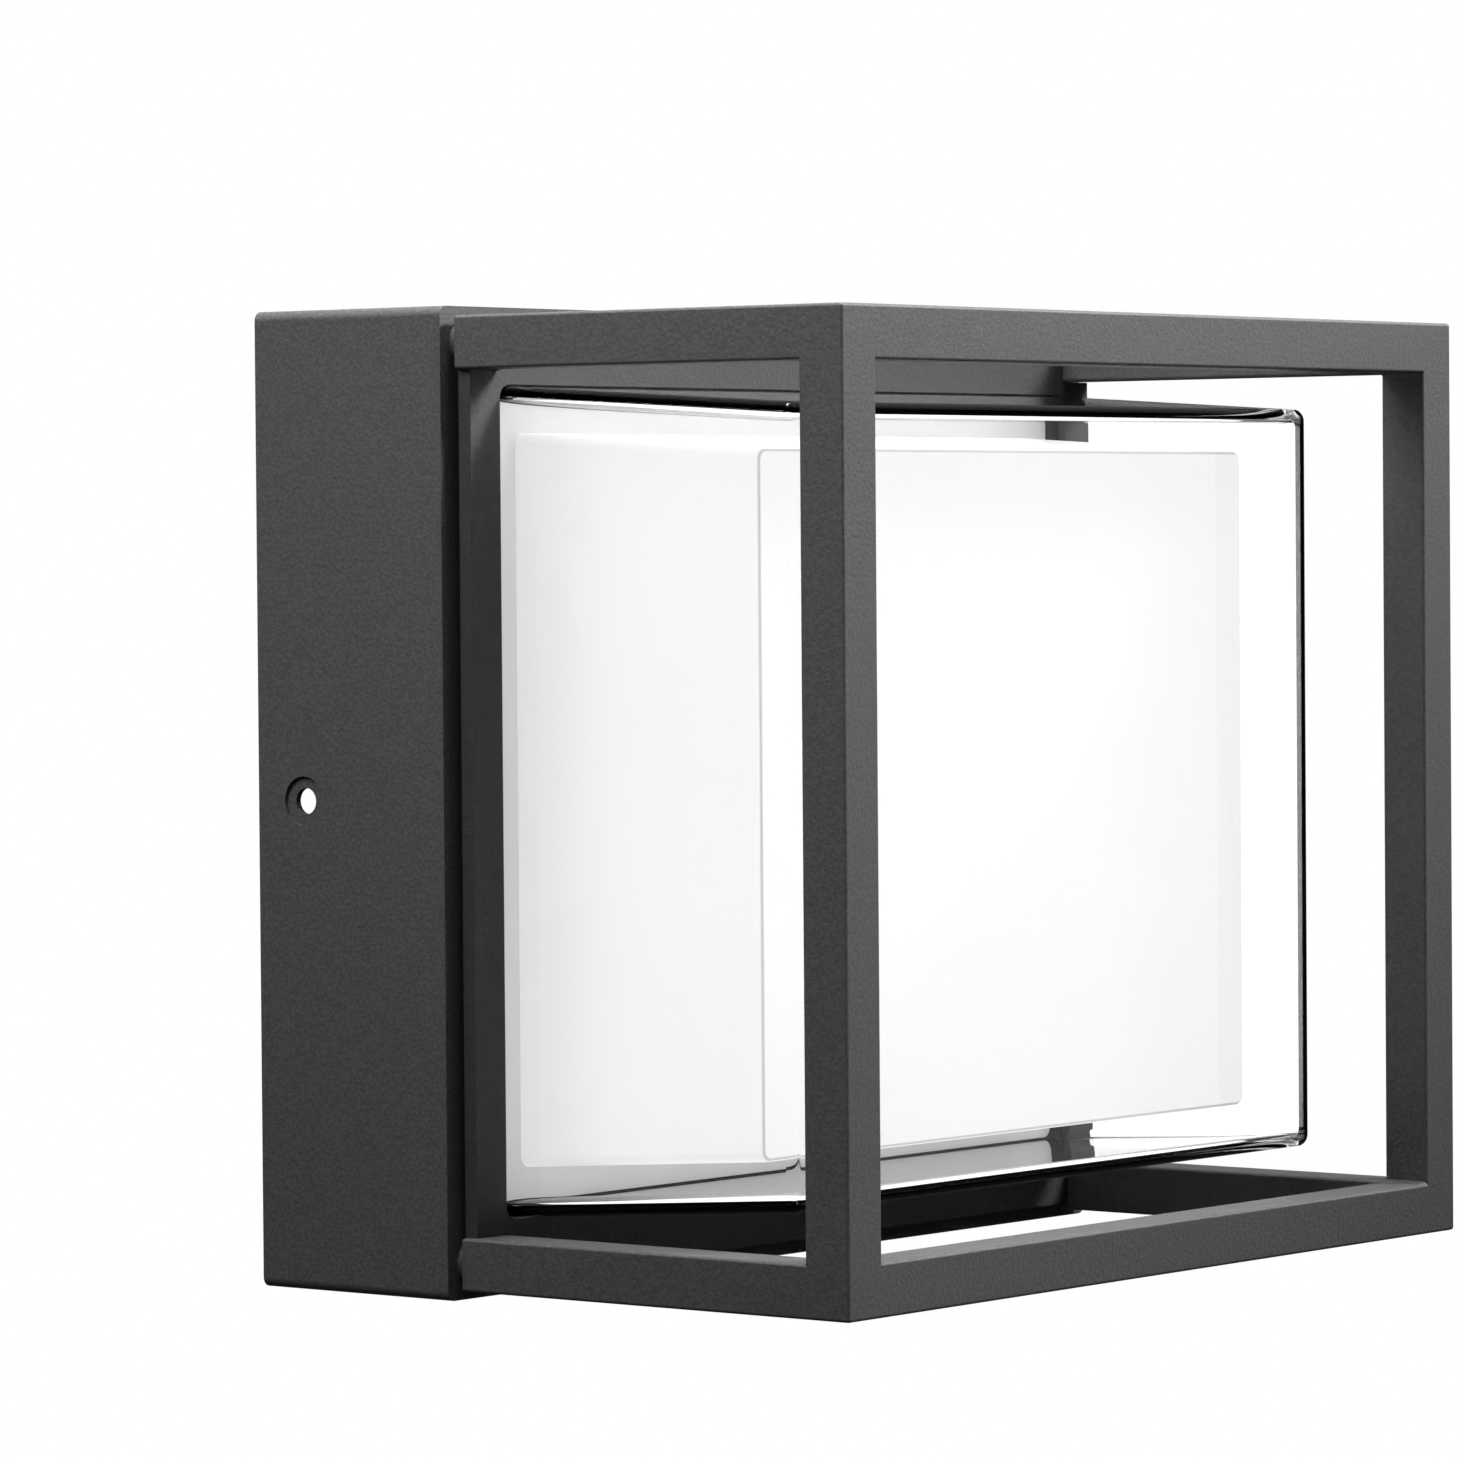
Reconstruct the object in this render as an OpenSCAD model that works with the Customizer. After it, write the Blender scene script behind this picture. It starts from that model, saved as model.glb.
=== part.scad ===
// Outdoor wall lantern: a cage of square bars stands in front of a shallow base housing,
// around a clear cover with an opal light box inside it.
// The wall is the plane Y = 0 and the lantern stands out from it towards -Y, with +Z up.
// The origin is the middle of the wall bracket's back face. Depths are measured from the wall.

/* [Cage] */
// Width of the cage across its front
cage_w = 220; // [190:1:280]
// Height of the cage
cage_h = 200; // [165:1:260]
// Distance from the wall to the front of the cage
total_d = 153; // [140:1:190]
// Side of the square cage bars
bar = 11; // [9:0.5:14]

/* [Base housing] */
// Depth of the base housing from the wall to its front
base_d = 51; // [44:1:62]
// How far the base stands out beyond the cage on every side
base_step = 2; // [1:0.5:4]
// Thickness of the base's side walls
base_wall = 2.2; // [1.8:0.1:3]
// Thickness of the base's front wall
base_front = 2.6; // [2.2:0.1:4]
// Radius of the base's and the plate's outer corners
corner_r = 2; // [1:0.5:4]
// Radius of the holes for the two side fixing screws
side_hole_r = 2.75; // [2.2:0.05:3.3]
// Radius of the sink around each side hole
side_sink_r = 5.2; // [4.5:0.1:6]
// Depth of the sink around each side hole
side_sink_d = 0.8; // [0.4:0.1:1.2]
// Distance from the wall to the side screws' axis
side_screw_d = 12.5; // [10:0.5:16]

/* [Front plate] */
// Thickness of the rubber gasket between the base and the front plate
gasket_t = 1.8; // [1:0.1:3]
// Thickness of the front plate
plate_t = 3.2; // [2.8:0.1:5]
// How far the plate's edge lies inside the cage's outer faces
plate_inset = 1.6; // [0.5:0.1:3]
// Width of the plate beside the cover
ring_side = 9.3; // [8:0.1:16]
// Width of the plate above and below the cover
ring_top = 12.4; // [11.5:0.1:20]

/* [Clear cover] */
// How far the clear cover's front stands out beyond the plate's back
cover_d = 73.7; // [60:0.1:80]
// Wall of the clear cover
cover_t = 2.2; // [1.6:0.1:4]
// How much each side of the cover draws in towards the front
cover_draw_side = 5.8; // [2:0.1:8]
// How much the top and the bottom of the cover draw in towards the front
cover_draw_top = 4.4; // [2:0.1:8]
// Radius of the cover's front edges
cover_edge_r = 2; // [1:0.5:4]
// Radius of the cover's four long corners
cover_corner_r = 2.6; // [1.5:0.1:5]
// Gap between the cover and the window of the plate
cover_gap = 0.3; // [0.2:0.05:0.5]

/* [Light unit] */
// Gap between the light box and the inside of the clear cover
opal_gap = 7.4; // [4:0.1:10]
// Distance from the front of the light box to the inside of the cover's front
opal_front_gap = 11.3; // [5:0.1:20]
// Wall of the opal light box
opal_t = 2.5; // [1.8:0.1:3.5]
// How much each side of the light box draws in towards its front
opal_draw = 3.8; // [1:0.1:6]
// Radius of the light box's front edges
opal_edge_r = 1; // [0.5:0.25:3]
// Radius of the light box's four long corners
opal_corner_r = 2.5; // [1.5:0.1:5]
// Width of the light-emitting board
board_w = 150; // [120:1:150]
// Height of the light-emitting board
board_h = 108; // [84:1:110]

/* [Wall bracket] */
// Length of the bracket between the outer faces of its two tabs
bracket_w = 176; // [150:1:180]
// Height of the bracket
bracket_h = 48; // [44:1:56]
// Thickness of the bracket's steel
bracket_t = 2; // [1.5:0.1:3]
// Distance between the middles of the two wall slots
slot_spacing = 80; // [70:1:90]
// Length of each wall slot from end to end
slot_l = 26; // [16:1:30]
// Half the width of a wall slot
slot_r = 2.3; // [2:0.1:3]
// Radius of the hole that the supply cable comes through
cable_hole_r = 11; // [8:0.5:12]
// Height of each side tab
tab_h = 22; // [16:1:26]

/* [Hidden] */
$fn = 48;

// Colours
powder_grey = [0.2, 0.2, 0.21];
rubber_black = [0.06, 0.06, 0.06];
zinc = [0.72, 0.73, 0.75];
paint_white = [0.93, 0.93, 0.92];

// Play left around a screw's shank in its thread, and around pieces that are slid together
thread_play = 0.05;
slip = 0.3;
// A cut runs this far past the faces it goes through
over = 1;

// Depths of the stacked layers
base_in = base_d - base_front;
plate_back = base_d + gasket_t;
plate_front = plate_back + plate_t;
cover_front = plate_back + cover_d;

// The bracket's tabs reach past the side screws' axis by half their height
tab_out = side_screw_d + tab_h / 2;
tab_thread_r = 2.1;
bracket_earth_x = 18;
bracket_earth_z = 16;

// Ledges inside the base that hang on the tabs
ledge_t = 2.5;
ledge_start = 5;
ledge_sink = 0.5;
ledge_past_tab = 2;
ledge_in = bracket_w / 2 - bracket_t - ledge_past_tab;

// Outlines
base_w = cage_w + 2 * base_step;
base_h = cage_h + 2 * base_step;
plate_w = cage_w - 2 * plate_inset;
plate_h = cage_h - 2 * plate_inset;
window_w = plate_w - 2 * ring_side;
window_h = plate_h - 2 * ring_top;
window_r = cover_corner_r + cover_gap;
gasket_recess = 3;
inner_corner_r = 1;
cover_w = window_w - 2 * cover_gap;
cover_h = window_h - 2 * cover_gap;
flange_w = 2.6;
flange_t = 1.5;
flange_play = 0.1;
rebate_d = flange_t + flange_play;

// Light tray, board and light box
tray_w = cover_w - 2 * cover_t - 2 * slip;
tray_h = cover_h - 2 * cover_t - 2 * slip;
tray_t = 1;
tray_front = base_d + tray_t;
pad_t = 0.6;
board_t = 1.6;
board_back = tray_front + pad_t;
board_front = board_back + board_t;
opal_play = 0.1;
opal_back = tray_front + opal_play;
opal_front = cover_front - cover_t - opal_front_gap;
opal_w = cover_w - 2 * cover_t - 2 * opal_gap;
opal_h = cover_h - 2 * cover_t - 2 * opal_gap;
chip = 3.5;
chip_t = 0.8;
chip_columns = 6;
chip_rows = 4;
chip_margin_x = 15;
chip_margin_z = 20;
chip_lift = 4;

// Places of the screws, as distances from the middle
rail_x = cage_w / 2 - bar / 2;
rail_z = cage_h / 2 - bar / 2;
plate_screw_from_end = 40;
plate_screw_lift = 0.6;
plate_screw_x = window_w / 2 - plate_screw_from_end;
plate_screw_z = plate_h / 2 - ring_top / 2 + plate_screw_lift;
board_margin = 7;
board_screw_x = board_w / 2 - board_margin;
board_screw_z = board_h / 2 - board_margin;
lug = 9;
lug_t = 7;
lug_root = 1;
lug_skin = 1;
lug_x = opal_w / 2 - opal_t - lug / 2;
lug_z = opal_h / 2 - opal_t - lug / 2;

// Radii of screws, their holes and the bosses they turn into
m3_r = 1.5;
m4_r = 2;
pilot_r = 1.2;
m4_tap_r = 1.7;
m3_pass_r = 1.7;
m4_pass_r = 2.2;
plate_boss_r = 4;
board_boss_r = 3.5;
board_boss_d = 4;
spacer_r = 4.6;
tap_d = 14;
tap_spare = 2;

// Screw heads and washers
m3_head_r = 2.6;
m3_washer_r = 3.2;
m4_head_r = 3.4;
m4_washer_r = 4.2;
washer_t = 0.8;
head_t = 2;
socket_share = 0.4;
washer_lap = 1.4;

// Driver and terminal block, fixed to the inside of the base's front wall
driver_w = 100;
driver_h = 40;
driver_d = 20;
driver_z = 56;
driver_ear = 8;
ear_t = 2.5;
block_w = 30;
block_h = 18;
block_d = 14;
block_x = 47;
block_z = -46;
pole = 9;
block_screw_x = block_x + pole / 2;
clamp_r = 2.2;
clamp_wall = 0.8;
clamp_margin = 3;
earth_x = -34;
ring_t = 1;
ring_r = 4;
ring_washer_r = 3.8;
barrel_r = 1.6;
barrel_l = 5;
barrel_skin = 1;
barrel_start = block_z + ring_r + slip;

// Screws that stop inside the front wall: two for the driver, one block screw, one earth screw
blind_skin = 0.8;
tip_gap = 0.3;
blind_tip = base_d - blind_skin - tip_gap;
driver_screw_x = driver_w / 2 + driver_ear / 2;
blind_screws = [[-driver_screw_x, driver_z], [driver_screw_x, driver_z],
    [block_screw_x, block_z], [earth_x, block_z]];

// Grommet and leads
grommet_drop = 8;
grommet_z = -board_h / 2 - grommet_drop;
grommet_r = 4.5;
grommet_room = 2.5;
lip_t = 1.2;
lip_over = 1.8;
lead_r = 0.9;
lead_gap = 1.1;
connector_w = 12;
connector_h = 8;
connector_t = 6;
connector_lift = 6;
connector_z = -board_h / 2 + connector_lift;
lead_room = 9;
lead_d = base_in - lead_room;

// ---- Shapes that repeat ----

// Stands a flat outline in X and Z up as a slab between two depths
module slab(from, to) {
    translate([0, -from, 0]) rotate([90, 0, 0]) linear_extrude(to - from) children();
}

// A round bar or bore along the depth
module round_y(x, z, from, to, r) {
    translate([x, -from, z]) rotate([90, 0, 0]) cylinder(h = to - from, r = r);
}

module rounded_rect(w, h, r) {
    square([w - 2 * r, h], center = true);
    square([w, h - 2 * r], center = true);
    for (sx = [-1, 1], sz = [-1, 1])
        translate([sx * (w / 2 - r), sz * (h / 2 - r)]) circle(r);
}

// Puts its child at the four places (+-x, +-z)
module at_corners(x, z) {
    for (sx = [-1, 1], sz = [-1, 1]) translate([sx * x, 0, sz * z]) children();
}

// A screw driven from the wall side: washer head ending at depth seat, shank up to depth tip
module rear_screw(seat, tip, r, head_r, washer_r) {
    round_y(0, 0, seat - washer_t, seat, washer_r);
    difference() {
        round_y(0, 0, seat - washer_t - head_t, seat - washer_t, head_r);
        round_y(0, 0, seat - washer_t - head_t - over, seat - washer_t - head_t / 2,
            head_r * socket_share);
    }
    round_y(0, 0, seat, tip, r);
}

// ---- Tapered shells: rings of one outline, joined into a closed skin ----

corner_steps = 4;
edge_steps = 4;
min_r = 0.3;

// Once round a rounded rectangle at a depth, from the right going up
function outline(w, h, r, depth) = [
    for (q = [0 : 3], k = [0 : corner_steps])
        let (a = 90 * (q + k / corner_steps), sx = q == 0 || q == 3 ? 1 : -1, sz = q < 2 ? 1 : -1)
        [sx * (w / 2 - r) + r * cos(a), -depth, sz * (h / 2 - r) + r * sin(a)]];

// Outlines from the open back to the front, drawn in evenly, then in round the front edge
function tapered_rings(w, h, dx, dz, from, to, edge_r, side_r) = concat(
    [outline(w, h, side_r, from)],
    [for (k = [0 : edge_steps])
        let (a = 90 * k / edge_steps, inset = edge_r * (1 - cos(a)), d = to - edge_r * (1 - sin(a)),
            share = (d - from) / (to - from))
        outline(w - 2 * dx * share - 2 * inset, h - 2 * dz * share - 2 * inset,
            max(side_r - inset, min_r), d)]);

// The skin over the outer rings and back over the inner rings, with a flat rim between them
module shell(outer, inner) {
    n = len(outer[0]);
    rings = concat([for (i = [len(outer) - 1 : -1 : 0]) outer[i]], inner);
    last = len(rings) - 1;
    walls = [for (i = [0 : last - 1], k = [0 : n - 1])
        [i * n + k, i * n + (k + 1) % n, (i + 1) * n + (k + 1) % n, (i + 1) * n + k]];
    front = [for (k = [n - 1 : -1 : 0]) k];
    inside = [for (k = [0 : n - 1]) last * n + k];
    polyhedron(points = [for (ring = rings) each ring], faces = concat(walls, [front, inside]),
        convexity = 6);
}

// ---- Leads: a tube swept along a smooth line through a few points ----

// Catmull-Rom point between p1 and p2 at share t
function spline(p0, p1, p2, p3, t) =
    0.5 * (2 * p1 + (p2 - p0) * t + (2 * p0 - 5 * p1 + 4 * p2 - p3) * t * t
        + (3 * p1 - p0 - 3 * p2 + p3) * t * t * t);
lead_steps = 5;
function smooth(p) = concat(
    [for (i = [0 : len(p) - 2], k = [0 : lead_steps - 1])
        spline(p[max(i - 1, 0)], p[i], p[i + 1], p[min(i + 2, len(p) - 1)], k / lead_steps)],
    [p[len(p) - 1]]);
function unit(v) = v / norm(v);
function tangent(p, i) = unit(p[min(i + 1, len(p) - 1)] - p[max(i - 1, 0)]);

// side is a direction that the route never runs along
module lead(route, r, side) {
    n = 8;
    p = smooth(route);
    last = len(p) - 1;
    rings = [for (i = [0 : last])
        let (t = tangent(p, i), a = unit(cross(t, side)), b = cross(t, a))
        for (k = [0 : n - 1]) p[i] + r * (a * cos(360 * k / n) + b * sin(360 * k / n))];
    walls = [for (i = [0 : last - 1], k = [0 : n - 1])
        [i * n + k, i * n + (k + 1) % n, (i + 1) * n + (k + 1) % n, (i + 1) * n + k]];
    start = [for (k = [n - 1 : -1 : 0]) k];
    end = [for (k = [0 : n - 1]) last * n + k];
    polyhedron(points = rings, faces = concat(walls, [start, end]), convexity = 4);
}

// ---- Wall bracket, the piece that stays on the wall ----

module wall_bracket() {
    earth_hole_r = m4_r;
    color(zinc) difference() {
        union() {
            slab(0, bracket_t) rounded_rect(bracket_w, bracket_h, corner_r);
            for (s = [-1, 1])
                translate([s * (bracket_w - bracket_t) / 2, -tab_out / 2, 0])
                    cube([bracket_t, tab_out, tab_h], center = true);
        }
        for (s = [-1, 1]) wall_slot(s * slot_spacing / 2);
        round_y(0, 0, -over, bracket_t + over, cable_hole_r);
        round_y(bracket_earth_x, bracket_earth_z, -over, bracket_t + over, earth_hole_r);
        translate([-bracket_w / 2 - over, -side_screw_d, 0])
            rotate([0, 90, 0]) cylinder(h = bracket_w + 2 * over, r = tab_thread_r);
    }
}
module wall_slot(x) {
    straight = slot_l - 2 * slot_r;
    slab(-over, bracket_t + over) translate([x, 0]) {
        square([straight, 2 * slot_r], center = true);
        for (s = [-1, 1]) translate([s * straight / 2, 0]) circle(slot_r);
    }
}

// A green-headed screw with its washer, driven from the front into the bracket
module bracket_earth_screw() {
    color([0.1, 0.45, 0.2]) translate([bracket_earth_x, 0, bracket_earth_z])
        front_screw(bracket_t, tip_gap, m4_r - thread_play, m4_head_r, m4_washer_r);
}

// A screw driven from the front: washer on depth seat, shank back to depth tip
module front_screw(seat, tip, r, head_r, washer_r) {
    round_y(0, 0, seat, seat + washer_t, washer_r);
    difference() {
        round_y(0, 0, seat + washer_t, seat + washer_t + head_t, head_r);
        round_y(0, 0, seat + washer_t + head_t / 2, seat + washer_t + head_t + over,
            head_r * socket_share);
    }
    round_y(0, 0, tip, seat, r);
}

// ---- Base housing: an open-backed box with two inner ledges that hang on the bracket's tabs ----

module base_housing() {
    color(powder_grey) difference() {
        union() {
            difference() {
                slab(0, base_d) rounded_rect(base_w, base_h, corner_r);
                slab(-over, base_in)
                    rounded_rect(base_w - 2 * base_wall, base_h - 2 * base_wall, inner_corner_r);
            }
            for (s = [-1, 1]) hanging_ledge(s);
            at_corners(rail_x, rail_z) round_y(0, 0, base_in, plate_back, spacer_r);
            at_corners(board_screw_x, board_screw_z)
                round_y(0, 0, base_in - board_boss_d, base_d, board_boss_r);
        }
        for (s = [-1, 1]) side_hole(s);
        at_corners(rail_x, rail_z) round_y(0, 0, base_in - over, plate_back + over, m4_pass_r);
        at_corners(plate_screw_x, plate_screw_z)
            round_y(0, 0, base_in - over, base_d + over, plate_boss_r + slip);
        at_corners(board_screw_x, board_screw_z)
            round_y(0, 0, base_in - board_boss_d - over, base_d + over, m3_r);
        at_corners(lug_x, lug_z) round_y(0, 0, base_in - over, base_d + over, m3_pass_r);
        for (p = blind_screws) round_y(p[0], p[1], base_in - over, base_d - blind_skin, m3_r);
        round_y(0, grommet_z, base_in - over, base_d + over, grommet_r);
    }
}
module hanging_ledge(side) {
    wall_in = base_w / 2 - base_wall / 2;
    x_mid = side * (ledge_in + wall_in) / 2;
    ledge_end = base_in + ledge_sink;
    translate([x_mid, -(ledge_start + ledge_end) / 2, tab_h / 2 + slip + ledge_t / 2])
        cube([wall_in - ledge_in, ledge_end - ledge_start, ledge_t], center = true);
}

module side_hole(side) {
    translate([side * (base_w / 2 + over), -side_screw_d, 0]) rotate([0, -side * 90, 0]) {
        cylinder(h = base_wall + 2 * over, r = side_hole_r);
        cylinder(h = side_sink_d + over, r = side_sink_r);
    }
}

// ---- Gasket, front plate and cage ----

module base_gasket() {
    color(rubber_black) difference() {
        slab(base_d, plate_back) difference() {
            rounded_rect(plate_w - 2 * gasket_recess, plate_h - 2 * gasket_recess, corner_r);
            rounded_rect(tray_w + 2 * slip, tray_h + 2 * slip, corner_r);
        }
        at_corners(rail_x, rail_z)
            round_y(0, 0, base_d - over, plate_back + over, spacer_r + slip);
        at_corners(plate_screw_x, plate_screw_z)
            round_y(0, 0, base_d - over, plate_back + over, plate_boss_r + slip);
    }
}

// Room for the cage's rails at the four corners
module rail_corners() {
    for (sx = [-1, 1], sz = [-1, 1])
        translate([sx * cage_w / 2, sz * cage_h / 2]) square(2 * bar + slip, center = true);
}

module front_plate() {
    boss_end = base_in + thread_play;
    color(powder_grey) difference() {
        union() {
            slab(plate_back, plate_front) difference() {
                rounded_rect(plate_w, plate_h, corner_r);
                rounded_rect(window_w, window_h, window_r);
                rail_corners();
            }
            at_corners(plate_screw_x, plate_screw_z)
                round_y(0, 0, boss_end, plate_front - blind_skin / 2, plate_boss_r);
        }
        slab(plate_back - over, plate_back + rebate_d)
            rounded_rect(window_w + 2 * flange_w, window_h + 2 * flange_w, window_r + flange_w);
        at_corners(plate_screw_x, plate_screw_z)
            round_y(0, 0, boss_end - over, plate_front - blind_skin, pilot_r + thread_play);
    }
}

module plate_screws() {
    color(zinc) at_corners(plate_screw_x, plate_screw_z)
        rear_screw(base_in, plate_front - blind_skin - tip_gap, pilot_r, m3_head_r,
            plate_boss_r + washer_lap);
}

module cage_frame() {
    color(powder_grey) difference() {
        union() {
            slab(total_d - bar, total_d) difference() {
                square([cage_w, cage_h], center = true);
                square([cage_w - 2 * bar, cage_h - 2 * bar], center = true);
            }
            at_corners(rail_x, rail_z)
                slab(plate_back, total_d - bar / 2) square(bar, center = true);
        }
        at_corners(rail_x, rail_z)
            round_y(0, 0, plate_back - over, plate_back + tap_d, m4_tap_r);
    }
}

module cage_screws() {
    color(zinc) at_corners(rail_x, rail_z)
        rear_screw(base_in, plate_back + tap_d - tap_spare, m4_tap_r - thread_play, m4_head_r,
            m4_washer_r);
}

// ---- Clear cover: a tapered box with a flange that the plate holds down on the gasket ----

module clear_cover() {
    back = plate_back + thread_play;
    step = plate_back + flange_t;
    flange = [for (d = [back, step])
        outline(cover_w + 2 * flange_w, cover_h + 2 * flange_w, cover_corner_r + flange_w, d)];
    color([0.85, 0.9, 0.92, 0.3]) difference() {
        shell(concat(flange, tapered_rings(cover_w, cover_h, cover_draw_side, cover_draw_top, step,
                cover_front, cover_edge_r, cover_corner_r)),
            tapered_rings(cover_w - 2 * cover_t, cover_h - 2 * cover_t, cover_draw_side,
                cover_draw_top, back, cover_front - cover_t, max(cover_edge_r - cover_t / 3, min_r),
                max(cover_corner_r - cover_t / 3, 2 * min_r)));
        slab(plate_back - over, plate_back + rebate_d) rail_corners();
    }
}

// ---- Light unit ----

module light_tray() {
    color(paint_white) difference() {
        slab(base_d, tray_front) rounded_rect(tray_w, tray_h, corner_r);
        at_corners(board_screw_x, board_screw_z)
            round_y(0, 0, base_d - over, tray_front + over, m3_pass_r);
        at_corners(lug_x, lug_z) round_y(0, 0, base_d - over, tray_front + over, m3_pass_r);
        round_y(0, grommet_z, base_d - over, tray_front + over, grommet_r + grommet_room);
    }
}

module board_outline(inset) {
    difference() {
        square([board_w - 2 * inset, board_h - 2 * inset], center = true);
        for (sx = [-1, 1], sz = [-1, 1])
            translate([sx * board_screw_x, sz * board_screw_z]) circle(m3_pass_r + inset / 4);
    }
}

module thermal_pad() {
    color([0.55, 0.58, 0.62]) slab(tray_front, board_back) board_outline(2);
}

module led_board() {
    color([0.95, 0.95, 0.93]) slab(board_back, board_front) board_outline(0);
}

module led_chips() {
    step_x = (board_w - 2 * chip_margin_x) / (chip_columns - 1);
    step_z = (board_h - 2 * chip_margin_z) / (chip_rows - 1);
    color([0.95, 0.85, 0.35]) for (i = [0 : chip_columns - 1], k = [0 : chip_rows - 1])
        translate([(i - (chip_columns - 1) / 2) * step_x, -board_front - chip_t / 2,
            (k - (chip_rows - 1) / 2) * step_z + chip_lift]) cube([chip, chip_t, chip], center = true);
}

module board_screws() {
    color(zinc) at_corners(board_screw_x, board_screw_z)
        front_screw(board_front, base_in - board_boss_d + tip_gap, m3_r - thread_play, m3_head_r,
            m3_washer_r);
}

module board_connector() {
    color(paint_white) translate([0, -board_front - connector_t / 2, connector_z])
        cube([connector_w, connector_t, connector_h], center = true);
}

module opal_diffuser() {
    color([0.97, 0.97, 0.96]) difference() {
        union() {
            shell(tapered_rings(opal_w, opal_h, opal_draw, opal_draw, opal_back, opal_front,
                    opal_edge_r, opal_corner_r),
                tapered_rings(opal_w - 2 * opal_t, opal_h - 2 * opal_t, opal_draw, opal_draw,
                    opal_back, opal_front - opal_t, max(opal_edge_r - opal_t / 3, min_r),
                    max(opal_corner_r - opal_t / 3, 2 * min_r)));
            for (sx = [-1, 1], sz = [-1, 1])
                translate([sx * (lug_x + lug_root / 2), -opal_back - lug_t / 2,
                    sz * (lug_z + lug_root / 2)])
                    cube([lug + lug_root, lug_t, lug + lug_root], center = true);
        }
        at_corners(lug_x, lug_z)
            round_y(0, 0, opal_back - over, opal_back + lug_t - lug_skin, pilot_r + thread_play);
    }
}

module diffuser_screws() {
    color(zinc) at_corners(lug_x, lug_z)
        rear_screw(base_in, opal_back + lug_t - lug_skin - tip_gap, pilot_r, m3_head_r, m3_washer_r);
}

// ---- Driver, terminal block and wiring inside the base ----

module led_driver() {
    color([0.88, 0.88, 0.86]) difference() {
        union() {
            translate([0, -(base_in - driver_d / 2), driver_z])
                cube([driver_w, driver_d, driver_h], center = true);
            translate([0, -(base_in - ear_t / 2), driver_z])
                cube([driver_w + 2 * driver_ear, ear_t, driver_h / 2], center = true);
        }
        for (s = [-1, 1])
            round_y(s * driver_screw_x, driver_z, base_in - ear_t - over, base_in + over, m3_pass_r);
    }
}

module driver_screws() {
    color(zinc) for (s = [-1, 1]) translate([s * driver_screw_x, 0, driver_z])
        rear_screw(base_in - ear_t, blind_tip, m3_r - thread_play, m3_head_r, m3_washer_r);
}

// Three poles side by side, each with a clamp that a lead goes into from above
module terminal_block() {
    color([0.93, 0.93, 0.9]) difference() {
        translate([block_x, -(base_in - block_d / 2), block_z])
            cube([block_w, block_d, block_h], center = true);
        for (k = [-1 : 1]) translate([block_x + k * pole, -lead_d, block_z - block_h / 2 - over])
            cylinder(h = block_h + 2 * over, r = clamp_r);
        round_y(block_screw_x, block_z, base_in - block_d - over, base_in + over, m3_pass_r);
    }
}

module terminal_clamps() {
    color([0.8, 0.65, 0.3]) for (k = [-1 : 1])
        translate([block_x + k * pole, -lead_d, block_z]) difference() {
            cylinder(h = block_h - 2 * clamp_margin, r = clamp_r - thread_play, center = true);
            cylinder(h = block_h, r = clamp_r - clamp_wall, center = true);
        }
}

module block_screw() {
    color(zinc) translate([block_screw_x, 0, block_z])
        rear_screw(base_in - block_d, blind_tip, m3_r - thread_play, m3_head_r, m3_washer_r);
}

module wire_grommet() {
    lip_r = grommet_r + lip_over;
    color(rubber_black) difference() {
        union() {
            round_y(0, grommet_z, base_in - lip_t, base_d + lip_t, grommet_r - thread_play);
            round_y(0, grommet_z, base_in - lip_t, base_in, lip_r);
            round_y(0, grommet_z, base_d, base_d + lip_t, lip_r);
        }
        round_y(0, grommet_z, base_in - 2 * lip_t, base_d + 2 * lip_t, 2 * lead_r + lead_gap);
    }
}

// A lead from the driver's lower edge, through the grommet, to the connector on the board
module led_lead(x) {
    driver_edge = driver_z - driver_h / 2;
    connector_d = board_front + connector_t / 2;
    lead([
        [x, -lead_d, driver_edge],
        [x, -lead_d, 0],
        [x, -lead_d, grommet_z + 14],
        [x, -lead_d - 3, grommet_z + 3],
        [x, -base_in, grommet_z],
        [x, -base_d - 1, grommet_z],
        [x, -connector_d + 1.5, grommet_z + 1],
        [x, -connector_d, grommet_z + 5],
        [x, -connector_d, connector_z - connector_h / 2]
    ], lead_r, [1, 0, 0]);
}

module led_lead_positive() {
    color([0.75, 0.1, 0.08]) led_lead(lead_gap);
}

module led_lead_negative() {
    color([0.08, 0.08, 0.08]) led_lead(-lead_gap);
}

// A lead from one pole of the terminal block up to the driver's lower edge
module supply_lead(pole_index, bow) {
    x = block_x + pole_index * pole;
    driver_edge = driver_z - driver_h / 2;
    lead([
        [x, -lead_d, block_z + 4],
        [x, -lead_d, block_z + block_h / 2 + 4],
        [x + bow, -lead_d, (block_z + driver_z) / 2 - 5],
        [x, -lead_d, driver_edge - 8],
        [x, -lead_d, driver_edge]
    ], lead_r, [0, 1, 0]);
}

module supply_lead_live() {
    color([0.1, 0.1, 0.1]) supply_lead(-1, -4);
}

module supply_lead_neutral() {
    color([0.9, 0.9, 0.9]) supply_lead(0, -3);
}

// From the block's third pole to the ring terminal, clear of the other leads
module earth_lead() {
    x = block_x + pole;
    top = block_z + block_h / 2;
    color([0.35, 0.6, 0.15]) lead([
        [x, -lead_d, block_z + 4],
        [x, -lead_d, top + 3],
        [x - 6, -lead_d + 6, top + 8],
        [block_x - 20, -lead_d + 6, top + 9],
        [earth_x + 24, -lead_d + 6, top + 9],
        [earth_x + 6, -lead_d, top + 9],
        [earth_x, -base_in + barrel_r, barrel_start + barrel_l + 4],
        [earth_x, -base_in + barrel_r, barrel_start + barrel_l],
        [earth_x, -base_in + barrel_r, barrel_start + barrel_l - 3]
    ], lead_r, [0, 1, 1]);
}

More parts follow.
